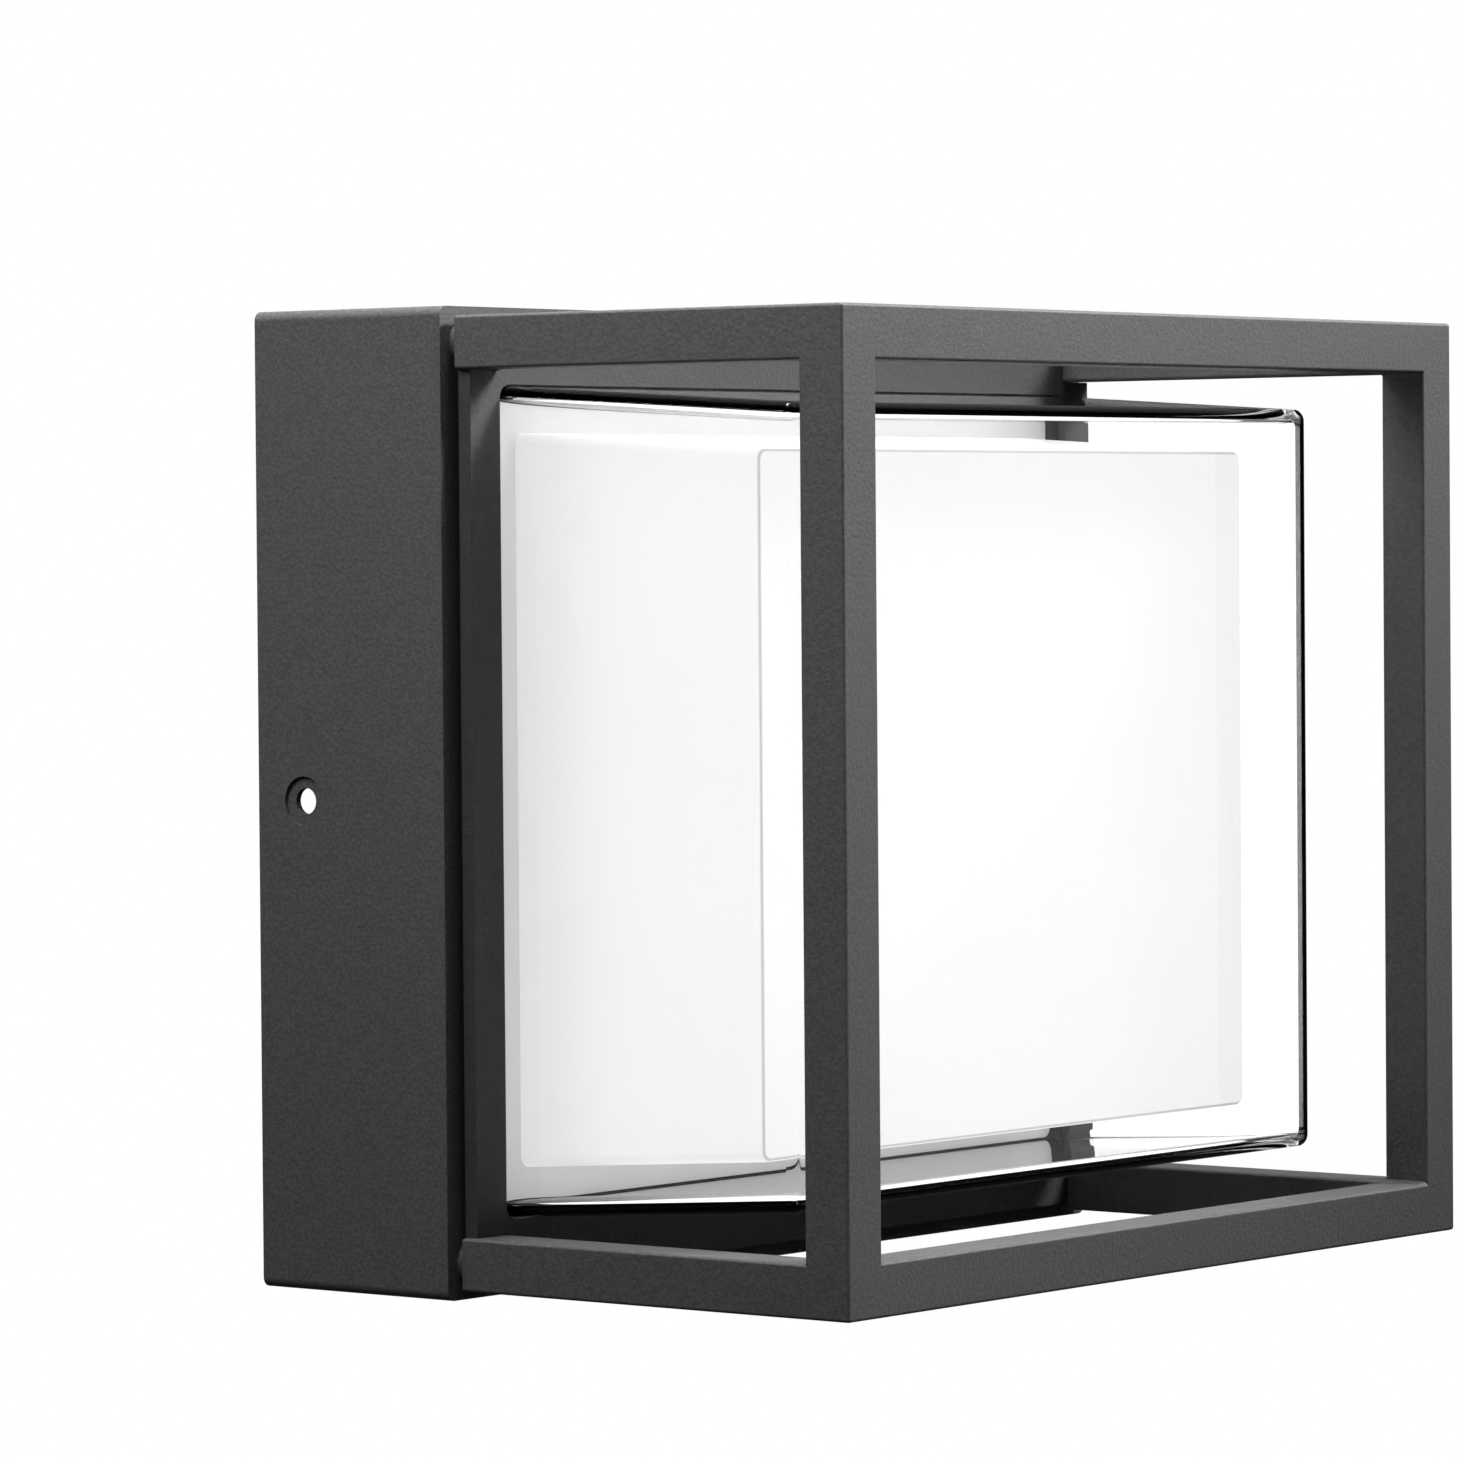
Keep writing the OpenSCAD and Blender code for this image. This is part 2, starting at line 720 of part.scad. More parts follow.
// A ring under the housing's earth screw, with the barrel that grips the earth lead
module ring_terminal() {
    tongue_w = 2 * barrel_r;
    color([0.8, 0.78, 0.7]) difference() {
        union() {
            round_y(earth_x, block_z, base_in - ring_t, base_in, ring_r);
            translate([earth_x, -base_in + ring_t / 2, (block_z + barrel_start) / 2 + barrel_l / 4])
                cube([tongue_w, ring_t, barrel_start - block_z + barrel_l / 2], center = true);
            translate([earth_x, -base_in + barrel_r, barrel_start]) cylinder(h = barrel_l, r = barrel_r);
        }
        round_y(earth_x, block_z, base_in - ring_t - over, base_in + over, m3_pass_r);
        translate([earth_x, -base_in + barrel_r, barrel_start + barrel_skin])
            cylinder(h = barrel_l, r = lead_r + 2 * thread_play);
    }
}

module housing_earth_screw() {
    color([0.1, 0.45, 0.2]) translate([earth_x, 0, block_z])
        rear_screw(base_in - ring_t, blind_tip, m3_r - thread_play, m3_head_r, ring_washer_r);
}

wall_bracket();
bracket_earth_screw();
base_housing();
base_gasket();
front_plate();
plate_screws();
cage_frame();
cage_screws();
clear_cover();
light_tray();
thermal_pad();
led_board();
led_chips();
board_screws();
board_connector();
opal_diffuser();
diffuser_screws();
led_driver();
driver_screws();
terminal_block();
terminal_clamps();
block_screw();
wire_grommet();
led_lead_positive();
led_lead_negative();
supply_lead_live();
supply_lead_neutral();
earth_lead();
ring_terminal();
housing_earth_screw();
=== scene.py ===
# %% [markdown]
# # An outdoor wall lantern
# The lantern is a cage of square metal bars around a clear cover, with a white light box inside
# it, on a shallow base that hangs on the wall. The measured parts come packed as a frame, and
# this lesson gives them their looks: the metal pieces get rounded edges and a textured powder
# coat, and the two plastic boxes are worked out as curved shells with real wall thickness.

# %% Load the frame
import math

import bpy
import numpy as np
from mathutils import Matrix, Vector


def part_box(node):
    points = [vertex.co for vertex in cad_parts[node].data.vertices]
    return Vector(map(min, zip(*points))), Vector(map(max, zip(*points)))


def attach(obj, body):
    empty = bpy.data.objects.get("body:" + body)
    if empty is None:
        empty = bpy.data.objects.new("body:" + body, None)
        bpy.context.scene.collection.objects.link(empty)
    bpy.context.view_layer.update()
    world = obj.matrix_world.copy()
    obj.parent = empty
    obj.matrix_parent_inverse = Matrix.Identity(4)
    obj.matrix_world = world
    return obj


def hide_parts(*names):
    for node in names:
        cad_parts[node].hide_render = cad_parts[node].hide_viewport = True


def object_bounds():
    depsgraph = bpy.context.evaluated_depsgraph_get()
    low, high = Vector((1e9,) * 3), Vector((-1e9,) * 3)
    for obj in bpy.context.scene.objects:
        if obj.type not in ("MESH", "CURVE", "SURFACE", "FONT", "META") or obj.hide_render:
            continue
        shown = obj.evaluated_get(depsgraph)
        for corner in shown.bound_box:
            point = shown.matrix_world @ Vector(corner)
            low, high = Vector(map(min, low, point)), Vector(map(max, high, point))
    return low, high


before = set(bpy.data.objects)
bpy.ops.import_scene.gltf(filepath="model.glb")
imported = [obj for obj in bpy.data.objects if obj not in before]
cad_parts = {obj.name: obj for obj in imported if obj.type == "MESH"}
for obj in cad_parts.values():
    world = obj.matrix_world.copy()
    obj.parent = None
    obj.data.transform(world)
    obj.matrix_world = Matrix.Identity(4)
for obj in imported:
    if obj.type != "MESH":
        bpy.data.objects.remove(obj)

MM = 0.001
cad_box = [list(corner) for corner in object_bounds()]
centre = np.mean(cad_box, axis=0)
print("frame:", len(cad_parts), "nodes")
print("box in mm:", np.round(np.array(cad_box) / MM, 1).tolist())

# %% [markdown]
# ## Camera
# A product picture of a box looks calm when the camera is far away and the lens is long: edges
# stay nearly parallel. This camera stands left of the lantern and looks at it from the side of
# its front corner, at nearly the height of its middle. It is placed by an angle and a distance
# from a point near the lantern's middle, which is easier to adjust than a raw matrix.

# %% Camera
SENSOR = 36.0
LENS = 170.4
CAMERA_TURN = math.radians(51.55)
CAMERA_DROP = math.radians(-1.62)
CAMERA_ROLL = math.radians(-0.44)
CAMERA_DISTANCE = 1.4837
AIM_OFFSET = np.array([-0.0190, 0.0247, 0.0130])


def aim_camera():
    """Camera axes: forward = (sin turn cos drop, cos turn cos drop, sin drop); right is level,
    then right and up are turned by the roll about forward."""
    forward = Vector((
        math.sin(CAMERA_TURN) * math.cos(CAMERA_DROP),
        math.cos(CAMERA_TURN) * math.cos(CAMERA_DROP),
        math.sin(CAMERA_DROP),
    ))
    level = Vector((math.cos(CAMERA_TURN), -math.sin(CAMERA_TURN), 0))
    upright = level.cross(forward)
    right = level * math.cos(CAMERA_ROLL) + upright * math.sin(CAMERA_ROLL)
    up = upright * math.cos(CAMERA_ROLL) - level * math.sin(CAMERA_ROLL)
    data = bpy.data.cameras.new("camera")
    data.sensor_width = SENSOR
    data.lens = LENS
    data.clip_start, data.clip_end = 0.05, 30
    camera = bpy.data.objects.new("camera", data)
    bpy.context.scene.collection.objects.link(camera)
    turned = Matrix((right, up, -forward)).transposed().to_4x4()
    place = Vector(centre + AIM_OFFSET) - forward * CAMERA_DISTANCE
    camera.matrix_world = Matrix.Translation(place) @ turned
    bpy.context.scene.camera = camera
    return camera


camera = aim_camera()
print("camera stands at", [round(x, 3) for x in camera.matrix_world.translation])

# %% [markdown]
# ## Shader maths as Python
# Node trees are easier to read when they are written as sums. The class below wraps one output
# socket. Adding or multiplying two wrapped values adds the Math node that does it.
# `Tree.node` makes any other node: its settings are set first, then its inputs.

# %% Shader maths
class Value:
    """A node's output that can be used in sums. Numbers stay numbers until a node needs them."""

    def __init__(self, tree, socket):
        self.tree = tree
        self.socket = socket

    def math(self, operation, other):
        return self.tree.node("ShaderNodeMath", {"operation": operation}, {0: self, 1: other})

    def __add__(self, other):
        return self.math("ADD", other)

    def __mul__(self, other):
        return self.math("MULTIPLY", other)

    __radd__ = __add__
    __rmul__ = __mul__

    def smooth(self, low, high):
        """0 below low, 1 above high, an S-curve between them."""
        return self.tree.node("ShaderNodeMapRange", {"interpolation_type": "SMOOTHSTEP"}, {
            "Value": self, "From Min": low, "From Max": high, "To Min": 0.0, "To Max": 1.0})


class Tree:
    """The node tree of one new material, or of the world, with the shader it starts with."""

    def __init__(self, name, world=None):
        self.material = world or bpy.data.materials.new(name)
        self.material.use_nodes = True
        self.nodes = self.material.node_tree.nodes
        self.links = self.material.node_tree.links
        self.shader = self.nodes["Background" if world else "Principled BSDF"]

    def feed(self, socket, value):
        if isinstance(value, Value):
            self.links.new(value.socket, socket)
        elif isinstance(value, (tuple, list)) and len(value) == 3 and socket.type == "RGBA":
            socket.default_value = (*value, 1.0)
        else:
            socket.default_value = value

    def node(self, kind, settings, inputs, output=0):
        made = self.nodes.new(kind)
        for key, value in settings.items():
            if key == "stops":
                self.set_stops(made.color_ramp, value)
            else:
                setattr(made, key, value)
        for key, value in inputs.items():
            self.feed(made.inputs[key], value)
        return Value(self, made.outputs[output])

    def set_stops(self, ramp, stops):
        while len(ramp.elements) < len(stops):
            ramp.elements.new(1.0)
        for element, (place, colour) in zip(ramp.elements, stops):
            element.position = place
            element.color = (*colour, 1.0)

    def place(self):
        """The point on the piece, in metres, in the frame's axes."""
        return self.node("ShaderNodeTexCoord", {}, {}, "Object")

    def noise(self, size, detail=2.0, roughness=0.5, vector=None):
        """Noise whose lumps are about size metres across, from 0 to 1 round 0.5."""
        return self.node("ShaderNodeTexNoise", {}, {
            "Vector": vector or self.place(), "Scale": 1.0 / size, "Detail": detail,
            "Roughness": roughness})

    def mix(self, share, first, second):
        """first where share is 0, second where it is 1."""
        return self.node("ShaderNodeMix", {"data_type": "RGBA"}, {0: share, 6: first, 7: second}, 2)

    def bump(self, height, depth, strength=1.0):
        """Height from 0 to 1 becomes relief of depth metres."""
        return self.node("ShaderNodeBump", {}, {
            "Height": height, "Distance": depth, "Strength": strength}, "Normal")

    def set(self, **sockets):
        """Values or links for the shader's sockets, with _ for a space in the name."""
        for name, value in sockets.items():
            self.feed(self.shader.inputs[name.replace("_", " ")], value)
        return self.material


print("shader helpers ready")

# %% [markdown]
# ## Finishes for the metal
# Powder coat is baked-on plastic dust, so it is matt, and close up it is a field of tiny bumps
# under a slow orange-peel wave. Both come from noise in the piece's own space. The colour barely
# varies: the bumps do the work, because each one catches the light on one side.

# %% Powder coat
COAT_DARK = (0.033, 0.0335, 0.0345)
COAT_LIGHT = (0.049, 0.0495, 0.051)
# The front plate's coat is the same powder coat at under a third of its brightness: painted shade
# for the plate lying in the shadow of the cage and the cover.
PLATE_SHADED_DARK = (0.010, 0.0103, 0.0107)
PLATE_SHADED_LIGHT = (0.015, 0.0154, 0.016)
GRAIN = 0.85 * MM
PEEL = 4 * MM


def powder_coat(name, dark, light):
    """Height = 0.7 grain + 0.3 orange peel; colour runs from dark to light with the grain."""
    tree = Tree(name)
    grain = tree.noise(GRAIN, detail=3.0, roughness=0.6)
    peel = tree.noise(PEEL, detail=1.0)
    height = 0.7 * grain + 0.3 * peel
    speck = grain.smooth(0.35, 0.65)
    return tree.set(
        Base_Color=tree.mix(speck, dark, light),
        Roughness=0.52 + 0.12 * peel,
        Normal=tree.bump(height, 0.2 * MM, 0.7),
    )


def zinc_plate():
    """Zinc on steel: grey metal with soft cloudy patches and long rolling lines."""
    tree = Tree("zinc_plate")
    clouds = tree.noise(9 * MM, detail=4.0)
    stretched = tree.node(
        "ShaderNodeMapping", {}, {"Vector": tree.place(), "Scale": (1.0, 1.0, 14.0)})
    lines = tree.noise(12 * MM, detail=3.0, vector=stretched)
    return tree.set(
        Base_Color=tree.mix(clouds, (0.42, 0.43, 0.45), (0.62, 0.63, 0.64)),
        Metallic=1.0,
        Roughness=0.28 + 0.2 * lines,
        Normal=tree.bump(lines, 0.02 * MM, 0.4),
    )


def screw_metal(name, low, high, metallic=1.0):
    """Small turned or pressed parts: a metal that is a little darker in patches."""
    tree = Tree(name)
    clouds = tree.noise(1.6 * MM, detail=3.0)
    return tree.set(
        Base_Color=tree.mix(clouds, low, high),
        Metallic=metallic,
        Roughness=0.25 + 0.25 * clouds,
        Normal=tree.bump(clouds, 0.02 * MM, 0.3),
    )


coat = powder_coat("powder_coat", COAT_DARK, COAT_LIGHT)
# painted shade: a darker copy of the powder coat for the front plate
shaded_plate_coat = powder_coat("powder_coat_plate_painted_shade", PLATE_SHADED_DARK, PLATE_SHADED_LIGHT)
zinc = zinc_plate()
screw_zinc = screw_metal("screw_zinc", (0.5, 0.5, 0.52), (0.75, 0.75, 0.77))
screw_green = screw_metal("screw_green", (0.02, 0.16, 0.05), (0.04, 0.28, 0.09), 0.4)
brass = screw_metal("clamp_brass", (0.6, 0.42, 0.16), (0.82, 0.62, 0.3))
print("metal finishes ready")

# %% [markdown]
# ## Finishes for plastic, rubber and paint
# The clear cover is polished acrylic: light goes straight through and bends a little, and the
# wall's thickness shows at its rounded edges. The light box is the same plastic made milky; its
# brightness is a painted glow, and a painted shade line darkens its front edge. The rest is
# ordinary moulded plastic, PVC, rubber and paint, each with a fine texture at its real size.

# %% Plastics
CLEAR_BEND = 1.25
PLASTIC_BEND = 1.49


def clear_acrylic():
    """Clear plastic. A very faint moulding haze varies the roughness by a hair."""
    tree = Tree("clear_acrylic")
    haze = tree.noise(30 * MM, detail=1.0)
    tree.set(Transmission_Weight=1.0, IOR=CLEAR_BEND)
    return tree.set(Base_Color=(1.0, 1.0, 1.0), Roughness=0.004 * haze)


# painted shade: the grey that the light box's colour and glow take on the middle of its front
# edge's rounding
EDGE_SHADE_TONE = (0.42, 0.42, 0.42)
# greyed, so that the painted glow carries most of the light box's brightness
OPAL_DARK = (0.46, 0.46, 0.46)
OPAL_LIGHT = (0.50, 0.50, 0.50)
# painted glow: an even emission that stands in for light reaching the light box, whose LED chips
# don't glow
OPAL_PAINTED_GLOW = 0.49


def opal_acrylic():
    """Milky plastic. Slow clouds keep it from looking flat. Its glow is painted light, an even
    emission standing in for the light the box gets, over a greyed base colour.
    """
    tree = Tree("opal_acrylic")
    clouds = tree.noise(60 * MM, detail=2.0)
    # painted shade line: the colour and glow turn grey on the middle of the front edge's rounding
    rim = tree.node("ShaderNodeAttribute", {"attribute_name": "rim"}, {}, "Fac")
    # painted glow over a greyed base colour
    tree.set(IOR=PLASTIC_BEND, Emission_Strength=OPAL_PAINTED_GLOW)
    return tree.set(
        Base_Color=tree.mix(rim, tree.mix(clouds, OPAL_DARK, OPAL_LIGHT), EDGE_SHADE_TONE),
        Emission_Color=tree.mix(rim, (1.0, 1.0, 1.0), EDGE_SHADE_TONE),
        Roughness=0.32 + 0.06 * clouds,
    )


def moulded(name, low, high, grain=0.5 * MM, roughness=0.45):
    """Moulded plastic, rubber or paint: a colour with a fine spark-eroded grain."""
    tree = Tree(name)
    speck = tree.noise(grain, detail=2.0)
    cloud = tree.noise(grain * 12, detail=2.0)
    return tree.set(
        Base_Color=tree.mix(cloud, low, high),
        Roughness=roughness + 0.12 * speck,
        Normal=tree.bump(speck, 0.03 * MM, 0.35),
    )


clear = clear_acrylic()
opal = opal_acrylic()
white_paint = moulded("white_paint", (0.8, 0.8, 0.8), (0.86, 0.86, 0.86), 1.2 * MM, 0.4)
white_plastic = moulded("white_plastic", (0.7, 0.7, 0.67), (0.78, 0.78, 0.75))
black_rubber = moulded("black_rubber", (0.012, 0.012, 0.012), (0.022, 0.022, 0.022), 0.4 * MM, 0.7)
thermal_grey = moulded("thermal_grey", (0.3, 0.33, 0.37), (0.38, 0.41, 0.45), 0.8 * MM, 0.75)
lead_red = moulded("lead_red", (0.45, 0.02, 0.015), (0.6, 0.04, 0.03), 0.6 * MM, 0.35)
lead_black = moulded("lead_black", (0.012, 0.012, 0.012), (0.025, 0.025, 0.025), 0.6 * MM, 0.35)
lead_white = moulded("lead_white", (0.7, 0.7, 0.7), (0.8, 0.8, 0.8), 0.6 * MM, 0.35)
lead_green = moulded("lead_green", (0.08, 0.3, 0.03), (0.16, 0.42, 0.06), 0.6 * MM, 0.35)
phosphor = moulded("phosphor", (0.8, 0.6, 0.1), (0.9, 0.72, 0.2), 0.3 * MM, 0.5)
print("plastic finishes ready")


# %% [markdown]
# ## The board's finish
# A light-emitting board is coated in white solder mask, which throws stray light forward. Its
# copper tracks stand a little proud under the mask, so they read as faint lines.

# %% Board
TRACK_SPACING = 9 * MM


def board_mask():
    """White solder mask with copper tracks showing through as faint raised lines. A wave
    texture's band is 1 / scale wide, so the scale follows from the tracks' spacing."""
    tree = Tree("board_mask")
    track = tree.node("ShaderNodeTexWave", {"bands_direction": "Z", "wave_profile": "SIN"}, {
        "Vector": tree.place(), "Scale": 2.0 / (math.tau * TRACK_SPACING), "Distortion": 0.0})
    line = track.smooth(0.9, 0.97)
    speck = tree.noise(0.7 * MM)
    return tree.set(
        Base_Color=tree.mix(line, (0.86, 0.86, 0.83), (0.78, 0.8, 0.74)),
        Roughness=0.3 + 0.15 * speck,
        Normal=tree.bump(line, 0.05 * MM, 0.5),
    )


board_white = board_mask()
print("board finish ready")

# %% [markdown]
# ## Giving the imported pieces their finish
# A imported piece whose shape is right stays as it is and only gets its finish.

# %% Finishes by piece
FINISHES = {
    # the front plate gets the darker copy of the coat, which is painted shade
    "base_housing": coat, "front_plate": shaded_plate_coat, "cage_frame": coat,
    "wall_bracket": zinc, "bracket_earth_screw": screw_green, "housing_earth_screw": screw_green,
    "plate_screws": screw_zinc, "cage_screws": screw_zinc, "board_screws": screw_zinc,
    "diffuser_screws": screw_zinc, "driver_screws": screw_zinc, "block_screw": screw_zinc,
    "ring_terminal": screw_zinc, "terminal_clamps": brass,
    "base_gasket": black_rubber, "wire_grommet": black_rubber, "thermal_pad": thermal_grey,
    "light_tray": white_paint, "led_board": board_white, "led_chips": phosphor,
    "board_connector": white_plastic, "led_driver": white_plastic,
    "terminal_block": white_plastic, "clear_cover": clear, "opal_diffuser": opal,
    "led_lead_positive": lead_red, "led_lead_negative": lead_black,
    "supply_lead_live": lead_black, "supply_lead_neutral": lead_white, "earth_lead": lead_green,
}
for name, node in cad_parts.items():
    node.data.materials.clear()
    node.data.materials.append(FINISHES[name])
print("finished", len(FINISHES), "packed pieces")

# %% [markdown]
# ## From arrays to a mesh
# Every new piece below is a numpy array of points and a numpy array of four-cornered faces. One
# helper makes the mesh, joins points that coincide and closes the poles where a ring of points
# has shrunk to one.

# %% Mesh helper
def make_piece(name, points, quads, finish, body):
    """points: (n, 3) in metres. quads: (m, 4) indices, anticlockwise from outside. Points nearer
    than a micrometre become one, and a quad that lost a corner becomes a triangle."""
    keys = np.round(points / (0.001 * MM)).astype(np.int64)
    _, first, same = np.unique(keys, axis=0, return_index=True, return_inverse=True)
    faces = same.reshape(-1)[quads]
    ahead = np.roll(faces, -1, axis=1)
    keep = faces != ahead
    outlines = [list(face[kept]) for face, kept in zip(faces, keep) if kept.sum() >= 3]
    mesh = bpy.data.meshes.new(name)
    mesh.from_pydata(points[first], [], outlines)
    mesh.validate()
    mesh.polygons.foreach_set("use_smooth", np.ones(len(mesh.polygons), bool))
    mesh.materials.append(finish)
    piece = bpy.data.objects.new(name, mesh)
    bpy.context.scene.collection.objects.link(piece)
    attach(piece, body)
    return piece


def keep_flats_flat(piece):
    """Shades each point by its largest faces, so that flats stay flat beside small roundings."""
    weighted = piece.modifiers.new("flats", "WEIGHTED_NORMAL")
    weighted.keep_sharp = False
    weighted.weight = 80


# %% [markdown]
# ## The cage as cells
# The cage is made of square bars, so it can be described as a 3 by 2 by 3 block of cells, some
# filled and some empty. A face is needed wherever a filled cell meets an empty one. This gives a
# clean mesh with one face per flat stretch, which a Bevel modifier can round evenly, inside
# corners too, as a casting is. Boolean-joined bars would leave slivers that don't bevel.

# %% Cell blocks
SHARP_ANGLE = math.radians(30)


def cell_block(xs, ys, zs, filled):
    """Points at every grid crossing; for each axis, a quad between each pair of neighbouring
    cells of which one is filled, turned to face the empty one."""
    levels = [np.asarray(xs), np.asarray(ys), np.asarray(zs)]
    shape = [len(level) for level in levels]
    points = np.stack(np.meshgrid(*levels, indexing="ij"), axis=-1).reshape(-1, 3)
    padded = np.pad(filled, 1)
    quads = []
    for axis in range(3):
        b, c = (axis + 1) % 3, (axis + 2) % 3
        step = np.diff(padded.astype(int), axis=axis)
        inner = [slice(1, -1)] * 3
        inner[axis] = slice(None)
        step = step[tuple(inner)]
        corner = np.argwhere(step != 0)
        falling = step[step != 0] < 0
        offsets = np.zeros((4, 3), int)
        offsets[1, b] = offsets[2, b] = offsets[2, c] = offsets[3, c] = 1
        index = corner[:, None, :] + offsets[None]
        quad = np.ravel_multi_index(tuple(np.moveaxis(index, -1, 0)), shape)
        quads.append(np.where(falling[:, None], quad, quad[:, ::-1]))
    return points, np.concatenate(quads)


def round_edges(piece, width, segments=3):
    """Rounds every edge that turns by more than SHARP_ANGLE."""
    bevel = piece.modifiers.new("rounding", "BEVEL")
    bevel.width = width
    bevel.segments = segments
    bevel.limit_method = "ANGLE"
    bevel.angle_limit = SHARP_ANGLE
    keep_flats_flat(piece)


# %% Cage
BAR = 11 * MM
CAST_ROUNDING = 0.7 * MM


def make_cage():
    """Cells: x and z are bar, opening, bar; y is front frame, then the rails behind it."""
    low, high = (np.array(corner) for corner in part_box("cage_frame"))
    xs = [low[0], low[0] + BAR, high[0] - BAR, high[0]]
    ys = [low[1], low[1] + BAR, high[1]]
    zs = [low[2], low[2] + BAR, high[2] - BAR, high[2]]
    filled = np.zeros((3, 2, 3), bool)
    filled[:, 0, :] = True
    filled[1, 0, 1] = False
    filled[::2, 1, ::2] = True
    points, quads = cell_block(xs, ys, zs, filled)
    cage = make_piece("cage_casting", points, quads, coat, "lantern")
    round_edges(cage, CAST_ROUNDING)
    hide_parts("cage_frame")
    return cage


cage = make_cage()
print("cage casting:", len(cage.data.polygons), "faces before rounding")

# %% [markdown]
# ## Tapered boxes with rounded edges
# The clear cover and the light box are both deep trays: moulded boxes, open at the back, that
# narrow towards the front so that they come out of their moulds. Each is a closed skin swept
# once over its outside and once over its inside. The sweep is a list of rings, each a rounded
# rectangle with its own half sizes, corner radius and depth. The first and last ring shrink to
# a point in the middle of the front, which closes the skin.

# %% Ringed shells
CORNER_STEPS = 10
EDGE_STEPS = 8
SMALLEST_RADIUS = 0.3 * MM
FLAT_INSET = 1 * MM
WALL_TOP_SHARE = 0.03


def ring_grid(rings):
    """rings: rows of (half width, half height, corner radius, y). A point of a ring is its
    corner's centre plus the corner radius along an angle that runs once round."""
    rings = np.asarray(rings, float)
    half_w, half_h, radius, y = (rings[:, k][:, None] for k in range(4))
    quarter = np.linspace(0, math.pi / 2, CORNER_STEPS + 1)
    angle = np.concatenate([quarter + k * math.pi / 2 for k in range(4)])
    sign_x = np.repeat([1, -1, -1, 1], CORNER_STEPS + 1)
    sign_z = np.repeat([1, 1, -1, -1], CORNER_STEPS + 1)
    x = sign_x * (half_w - radius) + radius * np.cos(angle)
    z = sign_z * (half_h - radius) + radius * np.sin(angle)
    return np.stack([x, np.broadcast_to(y, x.shape), z], axis=-1)


def ring_quads(count, around):
    """Quads between each ring and the next, wrapped round."""
    ring, place = np.meshgrid(np.arange(count - 1), np.arange(around), indexing="ij")
    here = (ring * around + place).reshape(-1)
    beside = (ring * around + (place + 1) % around).reshape(-1)
    return np.stack([here, here + around, beside + around, beside], axis=1)


def tapered_skin(half_w, half_h, draw_w, draw_h, back, front, edge, corner):
    """Rings from the middle of the front to the open back. The wall draws in evenly from back to
    front, and the front edge is a quarter circle: inset edge(1 - cos t), depth edge(1 - sin t).
    Two extra rings, one just inside the edge and one just behind it, keep the flats flat."""
    t = np.linspace(math.pi / 2, 0, EDGE_STEPS + 1)
    inset = edge * (1 - np.cos(t))
    y_edge = front + edge * (1 - np.sin(t))
    share = (back - y_edge) / (back - front)
    rounded = np.stack([
        half_w - draw_w * share - inset, half_h - draw_h * share - inset,
        np.maximum(corner - inset, SMALLEST_RADIUS), y_edge], axis=1)
    middle = [[0, 0, 0, front]]
    flat_in = rounded[:1] - [FLAT_INSET, FLAT_INSET, 0, 0]
    open_back = np.array([[half_w, half_h, corner, back]])
    wall_top = rounded[-1:] + (open_back - rounded[-1:]) * WALL_TOP_SHARE
    return np.concatenate([middle, flat_in, rounded, wall_top, open_back])


print("shell helpers ready")

# %% Clear cover
COVER_WALL = 2.2 * MM
INNER_ROUNDING_LESS = 0.7 * MM
COVER_EDGE = 2 * MM
COVER_CORNER = 2.6 * MM
COVER_DRAW_SIDE = 5.8 * MM
COVER_DRAW_TOP = 4.4 * MM
FLANGE_WIDTH = 2.6 * MM
FLANGE_THICK = 1.45 * MM


def make_cover():
    """Outside from the middle of the front to the flange, round the flange, then the inside back
    to the middle."""
    low, high = (np.array(corner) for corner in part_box("clear_cover"))
    back, front = high[1], low[1]
    half_w, half_h = high[0] - FLANGE_WIDTH, high[2] - FLANGE_WIDTH
    outside = tapered_skin(half_w, half_h, COVER_DRAW_SIDE, COVER_DRAW_TOP, back - FLANGE_THICK,
                           front, COVER_EDGE, COVER_CORNER)
    flange_corner = COVER_CORNER + FLANGE_WIDTH
    flange = [
        [high[0], high[2], flange_corner, back - FLANGE_THICK],
        [high[0], high[2], flange_corner, back],
    ]
    inside = tapered_skin(half_w - COVER_WALL, half_h - COVER_WALL, COVER_DRAW_SIDE,
                          COVER_DRAW_TOP, back, front + COVER_WALL,
                          COVER_EDGE - INNER_ROUNDING_LESS, COVER_CORNER - INNER_ROUNDING_LESS)
    grid = ring_grid(np.concatenate([outside, flange, inside[::-1]]))
    quads = ring_quads(*grid.shape[:2])
    cover = make_piece("clear_shell", grid.reshape(-1, 3), quads, clear, "lantern")
    keep_flats_flat(cover)
    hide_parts("clear_cover")
    return cover


cover = make_cover()
print("clear shell:", len(cover.data.polygons), "faces")

# %% Light box
OPAL_WALL = 2.5 * MM
OPAL_EDGE = 1 * MM
OPAL_CORNER = 2.5 * MM
OPAL_DRAW = 3.8 * MM
OPAL_INNER_EDGE = OPAL_EDGE - 0.7 * MM
OPAL_INNER_CORNER = OPAL_CORNER - 0.8 * MM
# angles that bound the painted shade band on the front edge's rounding
EDGE_SHADE_FROM, EDGE_SHADE_TO = math.radians(18), math.radians(52)


